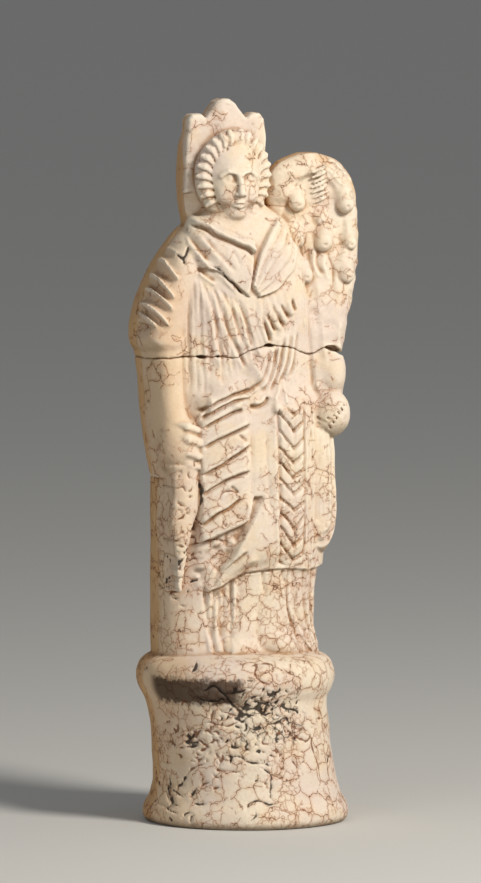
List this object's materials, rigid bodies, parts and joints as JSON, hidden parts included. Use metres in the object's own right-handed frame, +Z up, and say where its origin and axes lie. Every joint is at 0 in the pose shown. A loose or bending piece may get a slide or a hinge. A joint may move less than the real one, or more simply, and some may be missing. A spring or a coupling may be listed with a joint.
{
  "type": "gallo-roman statuette",
  "caption": "Moulded white clay statuette of a draped goddess in a pointed crown, holding a horn of plenty and a steering oar, standing on a round drum base.",
  "frame": {"origin": "centre of the flat underside of the round foot", "axes": "+Z up from the foot to the crown, the figure faces -Y, +X towards the horn of plenty"},
  "size_m": [0.0599, 0.052, 0.184],
  "materials": {
    "white_clay": "matte fired white clay, cream to pinkish, with orange-brown crackle, dark stains and a tan back half"
  },
  "bodies": {
    "root": {"statuette": "white_clay"}
  },
  "joints": []
}
